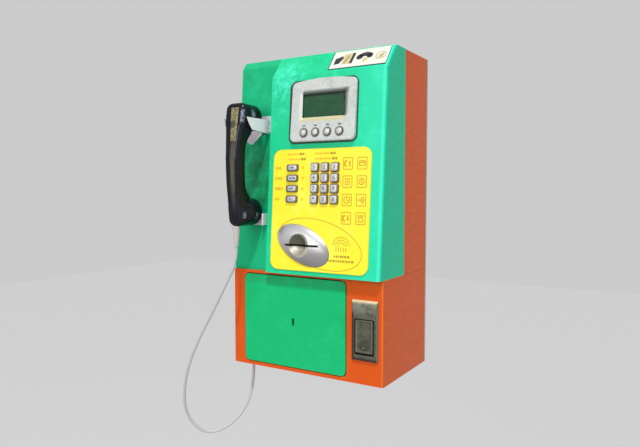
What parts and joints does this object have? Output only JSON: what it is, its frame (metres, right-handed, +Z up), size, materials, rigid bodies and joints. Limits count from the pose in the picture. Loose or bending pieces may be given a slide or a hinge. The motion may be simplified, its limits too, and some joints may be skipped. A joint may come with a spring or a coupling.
{
  "type": "wall payphone",
  "caption": "Wall-mounted card and coin payphone with a leaning keypad front, a hung handset on a looped cord, a lower coin vault with hinged door and a coin-return flap.",
  "frame": {"origin": "centre of the four wall-bolt holes, on the rear face that lies on the wall", "axes": "+X to the user's right, +Y into the wall, +Z up"},
  "size_m": [0.3431, 0.2365, 0.637],
  "materials": {
    "orange_paint": "semi-gloss orange enamel on sheet steel",
    "green_paint": "semi-gloss mint green enamel on sheet steel, slightly mottled",
    "yellow_fascia": "yellow printed plastic",
    "silver_plastic": "satin silver-grey plastic",
    "clear_window": "clear window",
    "lcd": "dark green display",
    "key_metal": "satin metal keys",
    "grey_rubber": "silicone rubber",
    "circuit_board": "solder resist",
    "black_plastic": "moulded black plastic",
    "label_film": "off-white printed film",
    "dull_steel": "worn dull steel",
    "sheet_steel": "zinc-plated sheet steel",
    "bright_steel": "bright sheet steel",
    "lock_brass": "worn brass",
    "black_handset": "glossy black plastic",
    "pale_rubber": "pale grey rubber",
    "cord_grey": "light grey sheathed cord"
  },
  "bodies": {
    "housing": {"back_plate": "orange_paint", "board_screws": "sheet_steel", "card_dome": "silver_plastic", "card_reader": "black_plastic", "cash_box": "sheet_steel", "cash_box_lid": "sheet_steel", "coin_chute": "sheet_steel", "coin_entry": "dull_steel", "coin_validator": "black_plastic", "cord_gland": "pale_rubber", "display_bezel": "silver_plastic", "display_board": "circuit_board", "display_window": "clear_window", "fascia": "yellow_fascia", "front_cover": "green_paint", "handset_cord": "cord_grey", "handset_cradle": "bright_steel", "handset_panel": "green_paint", "hook_switch": "black_plastic", "instruction_label": "label_film", "keypad_board": "circuit_board", "keypad_mat": "grey_rubber", "lcd_module": "lcd", "lower_case": "orange_paint", "main_board": "circuit_board", "mouthpiece_rest": "bright_steel", "rear_housing": "orange_paint", "return_cup": "sheet_steel", "return_plate": "dull_steel", "ringer": "black_plastic"},
    "key_0": {"key_0": "key_metal"},
    "key_1": {"key_1": "key_metal"},
    "key_2": {"key_2": "key_metal"},
    "key_3": {"key_3": "key_metal"},
    "key_4": {"key_4": "key_metal"},
    "key_5": {"key_5": "key_metal"},
    "key_6": {"key_6": "key_metal"},
    "key_7": {"key_7": "key_metal"},
    "key_8": {"key_8": "key_metal"},
    "key_9": {"key_9": "key_metal"},
    "key_hash": {"key_hash": "key_metal"},
    "key_star": {"key_star": "key_metal"},
    "menu_key_1": {"menu_key_1": "key_metal"},
    "menu_key_2": {"menu_key_2": "key_metal"},
    "menu_key_3": {"menu_key_3": "key_metal"},
    "menu_key_4": {"menu_key_4": "key_metal"},
    "round_key_1": {"round_key_1": "key_metal"},
    "round_key_2": {"round_key_2": "key_metal"},
    "round_key_3": {"round_key_3": "key_metal"},
    "round_key_4": {"round_key_4": "key_metal"},
    "handset": {"handset_shell": "black_handset", "handset_caps": "black_handset", "handset_capsules": "bright_steel", "cord_sleeve": "pale_rubber"},
    "hook": {"hook_lever": "bright_steel"},
    "door": {"vault_door": "green_paint", "lock_body": "dull_steel"},
    "lock_plug": {"lock_plug": "lock_brass"},
    "lock_bolt": {"lock_bolt": "sheet_steel"},
    "return_flap": {"return_flap": "dull_steel"}
  },
  "joints": [
    {"name": "key_0_press", "type": "slide", "parent": "housing", "child": "key_0", "axis": [0, 0.9976, -0.0699], "range_m": [0, 0.0015], "stiffness_N_per_m": 400},
    {"name": "key_1_press", "type": "slide", "parent": "housing", "child": "key_1", "axis": [0, 0.9976, -0.0699], "range_m": [0, 0.0015], "stiffness_N_per_m": 400},
    {"name": "key_2_press", "type": "slide", "parent": "housing", "child": "key_2", "axis": [0, 0.9976, -0.0699], "range_m": [0, 0.0015], "stiffness_N_per_m": 400},
    {"name": "key_3_press", "type": "slide", "parent": "housing", "child": "key_3", "axis": [0, 0.9976, -0.0699], "range_m": [0, 0.0015], "stiffness_N_per_m": 400},
    {"name": "key_4_press", "type": "slide", "parent": "housing", "child": "key_4", "axis": [0, 0.9976, -0.0699], "range_m": [0, 0.0015], "stiffness_N_per_m": 400},
    {"name": "key_5_press", "type": "slide", "parent": "housing", "child": "key_5", "axis": [0, 0.9976, -0.0699], "range_m": [0, 0.0015], "stiffness_N_per_m": 400},
    {"name": "key_6_press", "type": "slide", "parent": "housing", "child": "key_6", "axis": [0, 0.9976, -0.0699], "range_m": [0, 0.0015], "stiffness_N_per_m": 400},
    {"name": "key_7_press", "type": "slide", "parent": "housing", "child": "key_7", "axis": [0, 0.9976, -0.0699], "range_m": [0, 0.0015], "stiffness_N_per_m": 400},
    {"name": "key_8_press", "type": "slide", "parent": "housing", "child": "key_8", "axis": [0, 0.9976, -0.0699], "range_m": [0, 0.0015], "stiffness_N_per_m": 400},
    {"name": "key_9_press", "type": "slide", "parent": "housing", "child": "key_9", "axis": [0, 0.9976, -0.0699], "range_m": [0, 0.0015], "stiffness_N_per_m": 400},
    {"name": "key_hash_press", "type": "slide", "parent": "housing", "child": "key_hash", "axis": [0, 0.9976, -0.0699], "range_m": [0, 0.0015], "stiffness_N_per_m": 400},
    {"name": "key_star_press", "type": "slide", "parent": "housing", "child": "key_star", "axis": [0, 0.9976, -0.0699], "range_m": [0, 0.0015], "stiffness_N_per_m": 400},
    {"name": "menu_key_1_press", "type": "slide", "parent": "housing", "child": "menu_key_1", "axis": [0, 0.9976, -0.0699], "range_m": [0, 0.0015], "stiffness_N_per_m": 400},
    {"name": "menu_key_2_press", "type": "slide", "parent": "housing", "child": "menu_key_2", "axis": [0, 0.9976, -0.0699], "range_m": [0, 0.0015], "stiffness_N_per_m": 400},
    {"name": "menu_key_3_press", "type": "slide", "parent": "housing", "child": "menu_key_3", "axis": [0, 0.9976, -0.0699], "range_m": [0, 0.0015], "stiffness_N_per_m": 400},
    {"name": "menu_key_4_press", "type": "slide", "parent": "housing", "child": "menu_key_4", "axis": [0, 0.9976, -0.0699], "range_m": [0, 0.0015], "stiffness_N_per_m": 400},
    {"name": "round_key_1_press", "type": "slide", "parent": "housing", "child": "round_key_1", "axis": [0, 0.9976, -0.0699], "range_m": [0, 0.0012], "stiffness_N_per_m": 400},
    {"name": "round_key_2_press", "type": "slide", "parent": "housing", "child": "round_key_2", "axis": [0, 0.9976, -0.0699], "range_m": [0, 0.0012], "stiffness_N_per_m": 400},
    {"name": "round_key_3_press", "type": "slide", "parent": "housing", "child": "round_key_3", "axis": [0, 0.9976, -0.0699], "range_m": [0, 0.0012], "stiffness_N_per_m": 400},
    {"name": "round_key_4_press", "type": "slide", "parent": "housing", "child": "round_key_4", "axis": [0, 0.9976, -0.0699], "range_m": [0, 0.0012], "stiffness_N_per_m": 400},
    {"name": "handset_lift", "type": "slide", "parent": "housing", "child": "handset", "axis": [0, 0, 1], "range_m": [0, 0.06]},
    {"name": "hook_pivot", "type": "hinge", "parent": "housing", "child": "hook", "pos_m": [-0.1025, -0.13455, 0.1317], "axis": [-1, 0, 0], "range_deg": [0, 5]},
    {"name": "door_hinge", "type": "hinge", "parent": "housing", "child": "door", "pos_m": [0.07075, -0.1675, -0.1744], "axis": [0, 0, 1], "range_deg": [0, 105]},
    {"name": "lock_turn", "type": "hinge", "parent": "door", "child": "lock_plug", "pos_m": [-0.01925, -0.155, -0.1744], "axis": [0, -1, 0], "range_deg": [0, 90]},
    {"name": "bolt_slide", "type": "slide", "parent": "door", "child": "lock_bolt", "axis": [-1, 0, 0], "range_m": [0, 0.0152]},
    {"name": "flap_swing", "type": "hinge", "parent": "housing", "child": "return_flap", "pos_m": [0.11, -0.1648, -0.1509], "axis": [1, 0, 0], "range_deg": [0, 60]}
  ],
  "couplings": [
    {"joint": "hook_pivot", "follows": "handset_lift", "rad_per_m": 1.45},
    {"joint": "lock_turn", "follows": "bolt_slide", "rad_per_m": 103.33}
  ]
}
